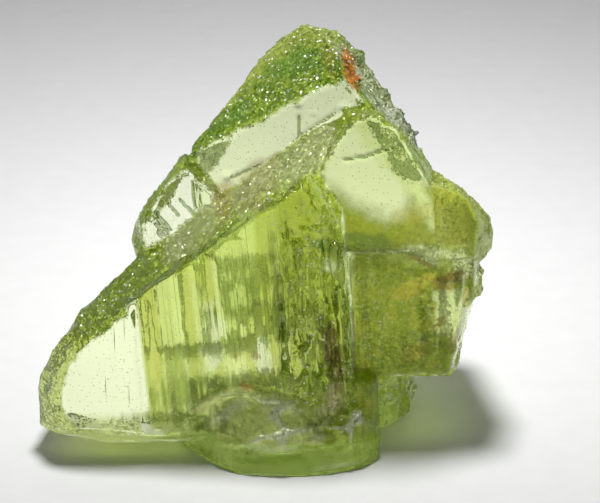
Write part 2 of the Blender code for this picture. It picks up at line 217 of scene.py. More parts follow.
# Colours of stains and patches
RUST = (0.86, 0.16, 0.01)
RED = (0.60, 0.16, 0.02)
PINK = (0.76, 0.52, 0.42)
BEIGE = (0.90, 0.78, 0.62)
AMBER = (0.78, 0.56, 0.03)
ORANGE = (0.72, 0.46, 0.02)
MUSTARD = (0.74, 0.62, 0.03)
BROWN = (0.50, 0.26, 0.02)
UMBER = (0.45, 0.26, 0.02)
DARK_BROWN = (0.30, 0.18, 0.01)
RED_BROWN = (0.22, 0.10, 0.01)
DEEP_BROWN = (0.12, 0.05, 0.02)
CREAM = (0.97, 1.0, 0.70)
PALE_LIME = (0.95, 1.0, 0.60)
LIME = (0.95, 1.0, 0.55)
YELLOW = (0.80, 0.86, 0.10)
DULL_YELLOW = (0.60, 0.70, 0.10)
FRESH_GREEN = (0.80, 0.95, 0.30)
GRASS_GREEN = (0.42, 0.56, 0.05)
MOSS_GREEN = (0.30, 0.42, 0.03)
GREEN = (0.16, 0.26, 0.01)
DARK_GREEN = (0.05, 0.10, 0.005)
BLACK_GREEN = (0.04, 0.09, 0.005)
DARK = (0.07, 0.10, 0.01)

# Colours of the finest marks, the painted glints, the crystal's gloss and the floor's grain
BAR_OLIVE = (0.34, 0.42, 0.03)
GAP_SHADE = (0.10, 0.15, 0.01)
GRIT_DARK = (0.12, 0.20, 0.01)
RAGGED_DARK = (0.12, 0.16, 0.01)
DOT_DARK = (0.10, 0.16, 0.02)
GRAIN_DARK = (0.12, 0.17, 0.01)
GRAIN_PALE = (0.80, 0.86, 0.22)
STREAK_PALE = (0.66, 0.74, 0.12)
# White of the painted glints: flecks that stand for sparkles of light on the facets
GLINT_PAINT_WHITE = (1.0, 1.0, 0.95)
GLOSS_TINT = (0.9, 1.0, 0.5, 1.0)
FLOOR_GRAIN = (0.86, 0.86, 0.86)

# Stains and patches near the front, and painted shade along the upright groove: x, z, half-length,
# half-width, angle of the length over level in degrees, colour, milkiness and strength
STAINS_AND_SHADE = [
    # Summit, band and shield
    (3.3, 15.4, 0.75, 0.2, 113, RUST, 0.8, 1.0),
    (2.4, 15.8, 0.6, 0.3, 113, AMBER, 0.3, 0.5),
    (-1.6, 10.5, 0.5, 0.3, 60, BROWN, 0.4, 0.6),
    (-0.3, 11.3, 1.1, 0.45, 35, PINK, 0.4, 0.5),
    (5.9, 10.5, 1.1, 0.4, 20, AMBER, 0.5, 0.35),
    # Block and the ledge over it
    (5.8, 7.0, 0.9, 0.35, 25, ORANGE, 0.6, 0.6),
    (6.6, 7.45, 0.9, 0.25, 5, MUSTARD, 0.6, 0.7),
    (7.5, 7.4, 0.65, 0.2, 8, DEEP_BROWN, 0.4, 0.9),
    (8.05, 7.65, 0.35, 0.2, 80, DEEP_BROWN, 0.4, 0.7),
    (7.85, 6.5, 0.5, 0.2, 80, BROWN, 0.4, 0.8),
    (7.6, 4.9, 0.5, 0.2, 80, BROWN, 0.4, 0.7),
    (6.35, 4.85, 0.3, 0.18, 0, DARK, 0.3, 0.8),
    (6.95, 4.65, 0.2, 0.2, 0, DARK, 0.3, 0.7),
    (6.0, 4.2, 0.6, 0.35, 30, UMBER, 0.5, 0.45),
    (4.0, 8.95, 1.0, 0.25, 0, BLOCK_DARK, 0.8, 0.95),
    (5.6, 8.3, 0.9, 0.3, -15, DULL_YELLOW, 0.7, 0.8),
    (3.55, 6.8, 2.0, 0.16, 93, BROAD_OLIVE, 0.6, 0.8),
    (6.9, 8.6, 1.3, 0.2, -20, PALE_LIME, 0.3, 0.9),
    (7.3, 6.1, 1.1, 0.75, 80, LIME, 0.25, 0.95),
    (7.8, 8.1, 0.6, 0.35, 90, PALE_LIME, 0.25, 0.9),
    (6.3, 8.35, 0.5, 0.3, -20, PALE_LIME, 0.3, 0.8),
    (7.2, 7.5, 0.7, 0.2, 20, RED_BROWN, 0.7, 0.95),
    (7.1, 7.1, 0.5, 0.14, 0, BROWN, 0.7, 0.9),
    (6.2, 8.2, 0.6, 0.12, -30, DARK_BROWN, 0.7, 0.9),
    (6.9, 5.5, 0.4, 0.12, 60, BROWN, 0.6, 0.8),
    # Shell-shaped break and foot
    (-1.5, 2.2, 1.0, 0.3, 30, CREAM, 0.8, 0.9),
    (0.6, 2.6, 1.1, 0.12, -12, CREAM, 0.8, 0.8),
    (0.9, 1.7, 0.9, 0.12, 10, CREAM, 0.8, 0.8),
    (2.3, 2.0, 0.8, 0.3, 60, BEIGE, 0.6, 0.8),
    (-2.0, 0.8, 1.6, 0.6, 0, FRESH_GREEN, 0.5, 0.7),
    # Joint of the shield, the broad face and the block
    (2.55, 8.7, 0.35, 0.3, 90, WHITISH, 0.1, 0.9),
    (2.5, 9.5, 0.9, 0.35, -26, BLACK_GREEN, 0.35, 0.95),
    (4.1, 9.4, 1.1, 0.3, -10, DARK_GREEN, 0.5, 0.9),
    (5.8, 8.6, 1.1, 0.08, -19, DARK, 0.2, 0.8),
    (2.95, 9.75, 0.45, 0.1, 100, YELLOW, 0.1, 0.9),
    # Broad face
    (2.75, 4.8, 1.8, 0.42, 97, DEEP_BROWN, 0.4, 1.0),
    (2.8, 3.0, 0.9, 0.45, 90, PINK, 0.5, 0.85),
    (2.1, 4.0, 0.9, 0.25, 95, GREEN, 0.2, 0.7),
    (-0.75, 3.4, 0.3, 0.22, 0, RED, 0.5, 0.8),
    (-2.1, 3.7, 0.9, 0.28, 8, GREEN, 0.3, 0.7),
    (-3.4, 1.8, 1.5, 0.7, 0, MOSS_GREEN, 0.3, 0.85),
    (-3.6, 3.4, 1.3, 0.7, 90, GRASS_GREEN, 0.25, 0.6),
    # Painted shade: a long dark line down the upright groove
    (0.55, 6.9, 3.2, 0.2, 94, DARK, 0.1, 0.85),
    (-1.3, 7.2, 1.3, 0.35, 95, GREEN, 0.1, 0.5),
    (-0.5, 7.2, 1.2, 0.28, 95, GREEN, 0.1, 0.6),
    (-2.0, 5.6, 1.3, 0.55, 95, WHITISH, 0.1, 0.7),
    (-2.45, 8.4, 0.6, 0.4, 95, YELLOW, 0.1, 0.8),
    (-0.05, 5.0, 1.0, 0.33, 95, WHITISH, 0.1, 0.7),
]

# Deep green patches of the summit's slope: x, height as seen, half-length, half-width and angle
DEEP_GREEN_PATCHES = [(1.1, 15.5, 1.4, 0.6, 25), (-1.5, 13.2, 1.2, 0.35, 40)]


# Noise, masks and distances on arrays of points in millimetres


def smooth(low, high, x):
    """Rises from 0 at low to 1 at high along a cubic that is flat at both ends."""
    t = np.clip((x - low) / (high - low), 0.0, 1.0)
    return t * t * (3.0 - 2.0 * t)


def within(part, places, mask=1.0):
    """The mask times the part's soft edges, each read along its own axis of the places."""
    for axis, low, high in SOFT_EDGES[part]:
        mask = mask * smooth(low, high, places[axis])
    return mask


def lattice_hash(cells, seed):
    """A random value from 0 to 1 for each whole-number cell, its numbers mixed by large odd factors."""
    mixed = (cells * np.array([73856093, 19349663, 83492791])).sum(axis=-1) + seed * 2654435761
    mixed = (mixed ^ (mixed >> 13)) * 1274126177
    mixed = (mixed ^ (mixed >> 16)) & 0xFFFFFF
    return mixed / float(0xFFFFFF)


def value_noise(points, seed):
    """Random values at the whole-number points of space, blended smoothly between them, from -1 to 1."""
    base = np.floor(points).astype(np.int64)
    part = points - base
    part = part * part * (3.0 - 2.0 * part)
    total = np.zeros(len(points))
    for corner in np.ndindex(2, 2, 2):
        weight = np.prod(np.where(np.array(corner) == 1, part, 1.0 - part), axis=1)
        total += weight * lattice_hash(base + np.array(corner), seed)
    return total * 2.0 - 1.0


def fractal_noise(points, seed, octaves=3):
    """Value noise added to itself at twice the frequency and half the height, octave by octave."""
    total, height = np.zeros(len(points)), 1.0
    for octave in range(octaves):
        total += value_noise(points * 2.0**octave, seed + octave) * height
        height *= 0.5
    return total / 1.75


def stretched_noise(x, y, z, seed):
    """Value noise at the place that the three scaled coordinates give."""
    return value_noise(np.stack([x, y, z], axis=1), seed)


def random_vectors(cells, seed):
    """Three random values from 0 to 1 for each cell."""
    return np.stack([lattice_hash(cells, seed + axis) for axis in range(3)], axis=1)


def facets(points, width, steepness, seed):
    """Flat facets about as wide as the width, at slopes up to half the steepness.

    Space is cut into the cells that are nearest to one random spot each. A point's height is its offset
    from its cell's spot times the cell's random lean.
    """
    points = points / width
    base = np.floor(points).astype(np.int64)
    nearest = np.full(len(points), 9.0)
    height = np.zeros(len(points))
    for offset in np.ndindex(3, 3, 3):
        cell = base + np.array(offset) - 1
        away = points - cell - random_vectors(cell, seed)
        distance = (away * away).sum(axis=1)
        rise = (away * (random_vectors(cell, seed + 3) - 0.5)).sum(axis=1)
        closer = distance < nearest
        nearest = np.where(closer, distance, nearest)
        height = np.where(closer, rise, height)
    return steepness * (height * width)


def crests(points, seed):
    """Thin curved crests, 1 where a slow noise crosses zero and falling steeply beside it."""
    return (1.0 - np.abs(fractal_noise(points * np.array([0.45, 0.45, 0.9]), seed + 31, 2))) ** 9


def masked(mask, points, pattern):
    """The mask times pattern(points), worked out only where the mask is above zero."""
    inside = mask > 0.002
    height = np.zeros(len(points))
    height[inside] = mask[inside] * pattern(points[inside])
    return height


def blob(across, up, half_length, half_width, angle):
    """Distance from an ellipse's middle, 1 on its outline; its length leans by the angle in degrees."""
    lean_x, lean_z = math.cos(math.radians(angle)), math.sin(math.radians(angle))
    along, beside = across * lean_x + up * lean_z, up * lean_x - across * lean_z
    return np.hypot(along / half_length, beside / half_width)


def stair_path(x, z, steps):
    """Corners of a stair that goes down to the right, each step a steep slant and then a level run."""
    path = [(x, z)]
    for _ in range(steps):
        x, z = x + STAIR_SLANT * STAIR_RUN, z - STAIR_DROP
        path.append((x, z))
        x += (1.0 - STAIR_SLANT) * STAIR_RUN
        path.append((x, z))
    return path


def distance_to_path(x, z, path):
    """Distance in the XZ plane from each point to the nearest of the straight lines along the path."""
    nearest = np.full(len(x), 99.0)
    for start, end in zip(path[:-1], path[1:]):
        along_x, along_z = end[0] - start[0], end[1] - start[1]
        t = ((x - start[0]) * along_x + (z - start[1]) * along_z) / (along_x**2 + along_z**2)
        t = np.clip(t, 0.0, 1.0)
        nearest = np.minimum(nearest, np.hypot(x - start[0] - t * along_x, z - start[1] - t * along_z))
    return nearest


def spread_out(mesh, values, rounds):
    """Turns each point's value into the mean of its own and its neighbours', round after round."""
    ends = np.empty(len(mesh.edges) * 2, np.int32)
    mesh.edges.foreach_get("vertices", ends)
    first, second = ends.reshape(-1, 2).T
    count = len(values)
    shares = 1.0 + np.bincount(first, minlength=count) + np.bincount(second, minlength=count)
    for _ in range(rounds):
        gathered = np.bincount(first, weights=values[second], minlength=count)
        gathered += np.bincount(second, weights=values[first], minlength=count)
        values = (values + gathered) / shares
    return values


def read_vectors(mesh, name):
    """The "co" or the "normal" of every point of the mesh, a row each."""
    vectors = np.empty(len(mesh.vertices) * 3, np.float32)
    mesh.vertices.foreach_get(name, vectors)
    return vectors.reshape(-1, 3).astype(np.float64)


# Zones of the crystal, as masks from 0 to 1 at each point


def zones(mesh, points, normals, settings):
    """Masks by place and by the way that the surface looks.

    frosted is what isn't one of the mirror-flat faces. Its edge is ragged, cut from the sum of the
    spread-out mask and a noise. The other masks name parts of the crystal.
    """
    x, y, z = points.T
    upright, as_seen = x + (z - UPRIGHT_LEVEL) * LEAN, z + y * SIGHT_SLOPE
    patchy = fractal_noise(points * 0.9, settings.seed + 5)
    places = {
        "x": x,
        "y": y,
        "z": z,
        "upright": upright,  # across the striations
        "as_seen": as_seen,  # the height where the front view's line of sight crosses y = 0
        "along_wing": x + 0.25 * (z - 3.0),
        "from_pane_edge": np.abs(upright - PANE_EDGE),
        "from_summit": np.abs(x - SUMMIT_X),
        "cloudy_rear": y + 1.5 * patchy,
        "cloudy_y": y + patchy,
        "cloudy_z": z + 0.5 * patchy,
    }
    looks_front, looks_back = smooth(*FRONT_FACE, -normals[:, 1]), smooth(*BACK_FACE, normals[:, 1])
    looks_down = smooth(*UNDER_FACE, -normals[:, 2])
    side = smooth(*SIDE_FACE, np.abs(normals[:, 0])) * smooth(0.35, 0.15, patchy)
    smooth_faces = np.clip(looks_front + looks_back + looks_down + side, 0.0, 1.0)
    near_frost = spread_out(mesh, 1.0 - smooth_faces, settings.edge_rounds)
    ragged = 4.0 * near_frost * (1.0 - near_frost) * fractal_noise(points * 3.0, settings.seed + 3)

    below_edge = np.interp(x, SHELL_X, SHELL_TOP) - z
    below_edge += 0.3 * fractal_noise(points * 1.2, settings.seed + 6)
    shell = within("shell", places, smooth(-0.1, 0.3, below_edge))
    broad, block, foot = (within(part, places) for part in ("broad", "block", "foot"))
    shoulder = within("shoulder", places)
    frosted = smooth(0.45, 0.75, near_frost + 0.5 * ragged) * (1.0 - shoulder)
    for other in (broad, block, foot, shell, within("pane_step", places)):
        frosted = frosted * (1.0 - other)
    beside_broken = as_seen - np.interp(x, BROKEN_X, BROKEN_HEIGHT)
    broken = within("broken", places, smooth(-0.1, 0.2, beside_broken))
    wing_rim = within("wing_end", places) + within("wing_foot", places)
    bounded = {
        "rough": broad,
        "pane_foot": looks_front,
        "shield": looks_front,
        "lobe": 1.0,
        "underside": looks_down,
        "rear_ledge": frosted,
        "rear_bars": looks_back,
        "rear_slope": frosted,
        "band": frosted,
    }
    return SimpleNamespace(
        places=places,
        upright=upright,
        near_frost=near_frost,
        front=looks_front,
        side=side,
        frosted=frosted,
        broad=broad,
        block=block,
        foot=foot,
        shell=shell,
        shoulder=shoulder,
        broken=within("broken_top", places, broken),
        wing_rim=within("wing", places, np.clip(wing_rim, 0.0, 1.0)) * frosted,
        slope=within("slope", places, frosted) * (1.0 - broken),
        **{part: within(part, places, mask) for part, mask in bounded.items()},
    )


def relief(points, zone, seed):
    """How far each point moves out along its normal, in millimetres, as the sum of the marks below."""
    x, y, z = points.T

    # Frosted slopes: fine facets over low lumps, calmer along the wing's rim
    gritty = zone.frosted * (1.0 - 0.7 * zone.wing_rim) * (1.0 - zone.broken)
    height = masked(
        gritty, points, lambda p: facets(p, 0.4, 0.4, seed) + 0.05 * fractal_noise(p * 1.3, seed + 4)
    )

    # Striations: noise that hardly changes along the striations makes low upright ribs
    ribs = stretched_noise(zone.upright * 2.6, z * 0.10, y * 0.3, seed + 11)
    height += 0.03 * (zone.broad + 0.5 * zone.block + zone.rear_bars) * ribs
    height += masked(zone.rear_bars, points, lambda p: 0.08 * fractal_noise(p * 0.9, seed + 14))

    # Side faces: wide upright ribs and thin ones on them
    ribs = stretched_noise(y * 2.0, z * 0.08, x * 0.3, seed + 12)
    thin_ribs = stretched_noise(y * 4.5, z * 0.15, x * 0.3, seed + 13)
    height += zone.side * (0.06 * ribs + 0.03 * thin_ribs)

    # The right end of the broad face is ragged: facets drawn out along the striations
    drawn_out = np.array([1.0, 1.0, 0.3])
    height += masked(zone.rough, points, lambda p: facets(p * drawn_out, 0.4, 0.9, seed + 21))

    # Shell-shaped break: thin curved crests over coarse facets
    height += masked(
        zone.shell, points, lambda p: 0.28 * crests(p, seed) + facets(p, 0.9, 0.2, seed + 32)
    )

    # Foot: low ripples, mostly level
    flattened = np.array([0.8, 0.8, 2.2])
    height += masked(zone.foot, points, lambda p: 0.08 * fractal_noise(p * flattened, seed + 91))

    # Broken edge: coarse angular lumps and finer ones on them
    height += masked(
        zone.broken, points, lambda p: facets(p, 0.7, 0.8, seed + 41) + facets(p, 0.3, 0.8, seed + 45)
    )

    # Grooves and knobs on the clear faces
    for path, half_width, depth in GROOVES:
        height -= depth * zone.front * smooth(half_width, 0.2 * half_width, distance_to_path(x, z, path))
    for knob_x, knob_z, radius, proud in KNOBS:
        dome = np.sqrt(np.clip(1.0 - np.hypot(x - knob_x, z - knob_z) / radius, 0.0, 1.0))
        height += proud * zone.front * dome
    return height


def part_coats(points, zone, cloudy, seed):
    """The coats of the crystal's parts, each a mask, a colour and a milkiness, the lowest first."""
    x, y, z = points.T
    slow = fractal_noise(points * 0.8, seed + 71)
    bars = stretched_noise(zone.upright * 2.2, z * 0.16, y * 0.3, seed + 11)
    streaks = stretched_noise(x * 0.35, y * 0.35, z * 3.5, seed + 91)
    slope_foot = SLOPE_LEFT_Z + SLOPE_RISE * (x - SLOPE_LEFT)
    up_slope = (z - slope_foot) / np.interp(x, SLOPE_X, SLOPE_HEIGHT)
    from_silver = distance_to_path(x, z, SILVER_LINE)
    band_left = smooth(-1.2, -2.6, x + 0.4 * cloudy) * smooth(0.5, 1.2, from_silver)
    lobe_rim = smooth(8.1, 8.8, x + 0.3 * cloudy) * smooth(-1.4, -2.6, y + 0.8 * cloudy)
    under_milky_edge = np.interp(x, MILKY_EDGE_X, MILKY_EDGE_Z) - z
    into_wedge = (x - WEDGE_X) * WEDGE_ACROSS[0] + (z - WEDGE_Z) * WEDGE_ACROSS[1]
    return [
        # Frosted slopes, the band and the wing's rim
        (zone.frosted, FROST, 0.22),
        (zone.slope * smooth(0.95, 0.55, up_slope + 0.3 * cloudy), SUMMIT_GREEN, 0.30),
        (zone.slope * smooth(-0.2, 0.6, slow) * 0.5, FROST, 0.30),
        (zone.slope * smooth(0.82, 1.02, up_slope + 0.15 * cloudy) * 0.8, PALE_RIM, 0.45),
        (zone.band * smooth(0.9, 0.3, from_silver + 0.3 * cloudy) * 0.8, BAND_SILVER, 0.35),
        (zone.band * band_left * 0.55, BAND_GREEN, 0.3),
        (zone.wing_rim * 0.9, PALE_RIM, 0.40),
        # Striated faces
        (zone.broad, BROAD_LIME, 0.10),
        # Painted shade: olive upright streaks that stand for the striations' dark internal reflections
        (zone.broad * smooth(0.30, -0.25, bars) * 0.8, BROAD_OLIVE, 0.20),
        (zone.rough * 0.85, ROUGH_OLIVE, 0.30),
        (zone.block, BLOCK_OLIVE, 0.80),
        (zone.block * smooth(0.0, 0.45, cloudy) * 0.7, BLOCK_OCHRE, 0.75),
        (zone.block * smooth(-0.1, -0.5, cloudy) * 0.6, BLOCK_DARK, 0.75),
        # Lobe, rear faces, shield and shoulder
        (zone.lobe, LOBE_LIME, 0.80),
        (zone.lobe * smooth(-0.1, 0.5, cloudy) * 0.4, LOBE_OCHRE, 0.80),
        (zone.lobe * lobe_rim, WHITISH, 0.60),
        (zone.rear_slope, REAR_SLOPE_LIME, 0.0),
        (zone.rear_ledge, REAR_LEDGE_LIME, 0.05),
        (zone.shield * smooth(-0.9, 0.5, under_milky_edge + 0.3 * cloudy), SHIELD_MILK, 0.75),
        (zone.shoulder, SHOULDER_LIME, 0.90),
        (zone.shoulder * smooth(0.0, 0.5, cloudy) * 0.7, SHOULDER_OCHRE, 0.80),
        (zone.shield * smooth(0.3, 1.0, under_milky_edge + 0.8 * cloudy) * 0.6, SHIELD_DARK_MILK, 0.60),
        (zone.shield * smooth(-0.2, 0.3, into_wedge + 0.3 * cloudy), SHIELD_CLEAR, 0.15),
        # Broken strip, shell-shaped break, foot and underside
        (zone.broken, BROKEN_WHITE, 0.65),
        (zone.shell, SHELL_LIME, 0.65),
        (zone.shell * smooth(1.0, 2.6, x + 0.6 * cloudy), SHELL_OLIVE, 0.50),
        # Painted highlights: whitish along the crests of the shell-shaped break
        (zone.shell * smooth(0.58, 0.86, crests(points, seed)) * 0.85, WHITISH, 0.90),
        (zone.shell * smooth(0.75, 0.92, crests(points + 1.7, seed + 9)) * 0.8, SHELL_DARK, 0.50),
        (zone.foot * 0.9, FOOT_GREEN, 0.25),
        (zone.foot * smooth(0.2, 0.6, streaks) * 0.6, WHITISH, 0.50),
        (zone.pane_foot * 0.8, PALE_RIM, 0.45),
        (zone.underside, CLEAR, 0.0),
    ]


def stain_coats(points, zone, cloudy):
    """Coats of the front's stains and painted groove shade, and of the summit slope's deep green patches,
    as blobs.
    """
    x, y, z = points.T
    front_half = within("front_half", zone.places)
    coats = []
    for centre_x, centre_z, half_length, half_width, angle, stain_and_shade_colour, milkiness, strength in STAINS_AND_SHADE:
        far = blob(x - centre_x, z - centre_z, half_length, half_width, angle) + 0.6 * cloudy
        coats.append((strength * front_half * smooth(1.25, 0.6, far), stain_and_shade_colour, milkiness))
    for centre_x, centre_z, half_length, half_width, angle in DEEP_GREEN_PATCHES:
        up = zone.places["as_seen"] - centre_z
        far = blob(x - centre_x, up, half_length, half_width, angle) + 0.35 * cloudy
        coats.append((0.85 * zone.slope * smooth(1.3, 0.5, far), SUMMIT_DEEP_GREEN, 0.40))
    return coats


def paint(points, zone, seed):
    """The colour that the surface lets through and its milkiness, both from 0 to 1.

    They start clear, and each coat blends them towards its own colour and milkiness by its mask.
    """
    colour, milky = np.ones((len(points), 3)), np.zeros(len(points))
    cloudy = fractal_noise(points * 2.4, seed + 81)
    coats = part_coats(points, zone, cloudy, seed) + stain_coats(points, zone, cloudy)
    for mask, coat, milkiness in coats:
        mask = np.clip(mask, 0.0, 1.0)
        colour += mask[:, None] * (np.array(coat) - colour)
        milky += mask * (milkiness - milky)
    return colour, milky


def carve(mesh, settings):
    """Moves every point by its relief, keeps what the material reads, and returns the far side's mask."""
    points = read_vectors(mesh, "co") / MM - DRAWN_OFFSET
    x, y, z = points.T
    healed = within("healed", {"x": x, "y": y, "z": z})
    points[:, 1] += healed * (spread_out(mesh, y, settings.heal_rounds) - y)
    mesh.vertices.foreach_set("co", ((points + DRAWN_OFFSET) * MM).astype(np.float32).ravel())
    mesh.update()
    normals = read_vectors(mesh, "normal")
    zone = zones(mesh, points, normals, settings)
    height = relief(points, zone, settings.seed) * smooth(0.0, 0.25, z)  # the underside stays flat
    moved = (points + normals * height[:, None] + DRAWN_OFFSET) * MM
    mesh.vertices.foreach_set("co", np.clip(moved, *CAD_BOX).astype(np.float32).ravel())

    colour = np.ones((len(points), 4))
    colour[:, :3], milky = paint(points, zone, settings.seed)
    tint = mesh.attributes.new("tint", "FLOAT_COLOR", "POINT")
    tint.data.foreach_set("color", colour.astype(np.float32).ravel())
    hair_lines = [stair_path(*stair) for stair in STAIRS] + HAIR_LINES
    beside = np.min([distance_to_path(x, z, path) for path in hair_lines], axis=0)
    faint = 1.0 - 0.16 * smooth(-5.0, -5.4, x)
    striated = zone.broad + zone.block * (0.15 + 0.5 * within("block_left", zone.places))
    layers = {
        "milky": milky,
        "line": (1.0 - beside / LINE_REACH) * faint * (y < -0.5) * smooth(0.5, 0.9, zone.front),
        "grit": zone.frosted * (1.0 - 0.6 * zone.wing_rim) + 0.15 * zone.block + 0.1 * zone.shell,
        "striated": striated * (1.0 - zone.shell) * (1.0 - 0.5 * zone.rough) + 0.5 * zone.rear_bars,
        "broken": zone.broken,
        "rough": zone.rough,
        "shell": zone.shell,
        "crest": zone.shell * smooth(0.70, 0.92, crests(points, settings.seed)),
    }
    for name, values in layers.items():
        layer = mesh.attributes.new(name, "FLOAT", "POINT")
        layer.data.foreach_set("value", np.clip(values, 0.0, 1.0).astype(np.float32))
    mesh.update()
    settled = smooth(0.06, 0.02, zone.near_frost) + smooth(0.94, 0.98, zone.near_frost)
    return within("rear_half", zone.places) * settled


# Meshes


def remeshed_copy(name, node, voxel):
    """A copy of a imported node, its triangles merged and remeshed to even faces of the voxel's size."""
    copy = bpy.data.objects.new(name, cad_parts[node].data.copy())
    copy.data.materials.clear()
    bpy.context.scene.collection.objects.link(copy)
    weld = copy.modifiers.new("Merge", "WELD")
    weld.merge_threshold = WELD_DISTANCE
    remesh = copy.modifiers.new("Remesh", "REMESH")
    remesh.mode = "VOXEL"
    remesh.voxel_size = voxel
    apply_modifiers(copy)
    copy.data.name = name
    return copy


def thin_out(obj, far_side, most_triangles):
    """Collapses the least needed edges, the far side's first, until few enough triangles are left."""
    triangles = len(obj.data.loops) - 2 * len(obj.data.polygons)
    if triangles <= most_triangles:
        return
    group = obj.vertex_groups.new(name="far_side")
    quarters = np.round(far_side * 4.0).astype(int)
    for quarter in range(5):
        group.add(np.flatnonzero(quarters == quarter).tolist(), quarter / 4.0, "REPLACE")
    decimate = obj.modifiers.new("Thin", "DECIMATE")
    decimate.ratio = most_triangles / triangles
    decimate.vertex_group = group.name
    apply_modifiers(obj)


def apply_modifiers(obj):
    """Gives the object the smooth-shaded mesh that its modifiers make, and takes them off."""
    graph = bpy.context.evaluated_depsgraph_get()
    mesh = bpy.data.meshes.new_from_object(obj.evaluated_get(graph))
    obj.modifiers.clear()
    obj.data = mesh
    mesh.shade_smooth()


def floor_mesh(name, width, count):
    """A level square just under the foot: count by count points, x and y in equal steps, z constant."""
    steps = np.linspace(-0.5, 0.5, count) * width
    x, y = np.meshgrid(steps, steps, indexing="ij")
    points = np.stack([x, y, np.full_like(x, -0.02 * MM)], axis=-1).reshape(-1, 3)
    index = np.arange(count * count).reshape(count, count)
    corners = [index[:-1, :-1], index[1:, :-1], index[1:, 1:], index[:-1, 1:]]
    faces = np.stack(corners, axis=-1).reshape(-1, 4)
    mesh = bpy.data.meshes.new(name)
    mesh.from_pydata(points.tolist(), [], faces.tolist())
    return mesh


# Shader expressions


class Value:
    """A node's output socket, so that shader maths is written as Python sums and products."""

    def __init__(self, graph, socket):
        self.graph, self.socket = graph, socket

    def _math(self, operation, first, second, clamp=False):
        inputs = {0: first, 1: second}
        return self.graph.node("ShaderNodeMath", inputs, operation=operation, use_clamp=clamp)

    def _vector(self, operation, other, output=0):
        return self.graph.node("ShaderNodeVectorMath", {0: self, 1: other}, output, operation=operation)

    def __add__(self, other):
        return self._math("ADD", self, other)

    def __sub__(self, other):
        return self._math("SUBTRACT", self, other)

    def __rsub__(self, other):
        return self._math("SUBTRACT", other, self)

    def __mul__(self, other):
        return self._math("MULTIPLY", self, other)

    __radd__, __rmul__ = __add__, __mul__

    def dot(self, other):
        """How far a vector reaches along the other one."""
        return self._vector("DOT_PRODUCT", other, "Value")

    def minus(self, other):
        """Difference of two vectors."""
        return self._vector("SUBTRACT", other)

    def plus(self, other):
        """Sum of two vectors."""
        return self._vector("ADD", other)

    def times(self, other):
        """Product of two vectors, part by part."""
        return self._vector("MULTIPLY", other)

    def part(self, name):
        """The Red, Green or Blue of a colour."""
        return self.graph.node("ShaderNodeSeparateColor", {"Color": self}, name)

    def clamped(self):
        """The value, kept from 0 to 1."""
        return self._math("ADD", self, 0.0, clamp=True)

    def over(self, low, high):
        """0 below low and 1 above high, smooth between them; reversed when low is the larger."""
        swap = low > high
        inputs = {"Value": self, "From Min": min(low, high), "From Max": max(low, high)}
        inputs |= {"To Min": 1.0 if swap else 0.0, "To Max": 0.0 if swap else 1.0}
        return self.graph.node("ShaderNodeMapRange", inputs, interpolation_type="SMOOTHSTEP")


class Graph:
    """The node tree of one material or world."""

    def __init__(self, owner):
        owner.use_nodes = True
        self.tree = owner.node_tree
        self.tree.nodes.clear()

    def make(self, kind, inputs=None, **settings):
        """A node with its settings made first, then its sockets' values or links."""
        made = self.tree.nodes.new(kind)
        for key, value in settings.items():
            setattr(made, key, value)
        for key, value in (inputs or {}).items():
            if isinstance(value, Value):
                self.tree.links.new(value.socket, made.inputs[key])
            else:
                made.inputs[key].default_value = value
        return made

    def outputs(self, made, *names):
        """Some of a node's outputs."""
        return [Value(self, made.outputs[name]) for name in names]

    def node(self, kind, inputs=None, output=0, **settings):
        """One output of a new node."""
        return Value(self, self.make(kind, inputs, **settings).outputs[output])

    def attribute(self, name, output="Fac"):
        """One of the values that carve() keeps at the mesh's points."""
        return self.node("ShaderNodeAttribute", output=output, attribute_name=name)

    def noise(self, place, scale, detail, roughness=0.5, output=0):
        """Soft noise, the scale in waves for each unit of the place."""
        inputs = {"Vector": place, "Scale": scale, "Detail": detail, "Roughness": roughness}
        return self.node("ShaderNodeTexNoise", inputs, output)

    def spots(self, place, scale):
        """Distance to the nearest of the spots that are strewn about, and that spot's random colour."""
        made = self.make("ShaderNodeTexVoronoi", {"Vector": place, "Scale": scale})
        return self.outputs(made, "Distance", "Color")

    def facets(self, place, scale):
        """Height and colour of small facets: the offset from a cell's spot times its random lean."""
        made = self.make("ShaderNodeTexVoronoi", {"Vector": place, "Scale": scale})
        spot, colour = self.outputs(made, "Position", "Color")
        return place.minus(spot).dot(colour.minus((0.5, 0.5, 0.5))), colour

    def bars(self, across, scale):
        """Height and colour of upright bars, each leaning to one side by a random amount."""
        made = self.make("ShaderNodeTexVoronoi", {"W": across, "Scale": scale}, voronoi_dimensions="1D")
        middle, colour = self.outputs(made, "W", "Color")
        return (across - middle) * (colour.part("Red") - 0.5), colour

    def gaps(self, across, scale):
        """Distance to the nearest gap between upright bars."""
        inputs, settings = {"W": across, "Scale": scale}, {"voronoi_dimensions": "1D"}
        return self.node("ShaderNodeTexVoronoi", inputs, feature="DISTANCE_TO_EDGE", **settings)

    def mix(self, factor, first, second):
        """Blends an output or a colour with a second colour."""
        first = first if isinstance(first, Value) else (*first, 1.0)
        inputs = {0: factor, 6: first, 7: (*second, 1.0)}  # the colour sockets come after four others
        return self.node("ShaderNodeMix", inputs, 2, data_type="RGBA")


# Materials


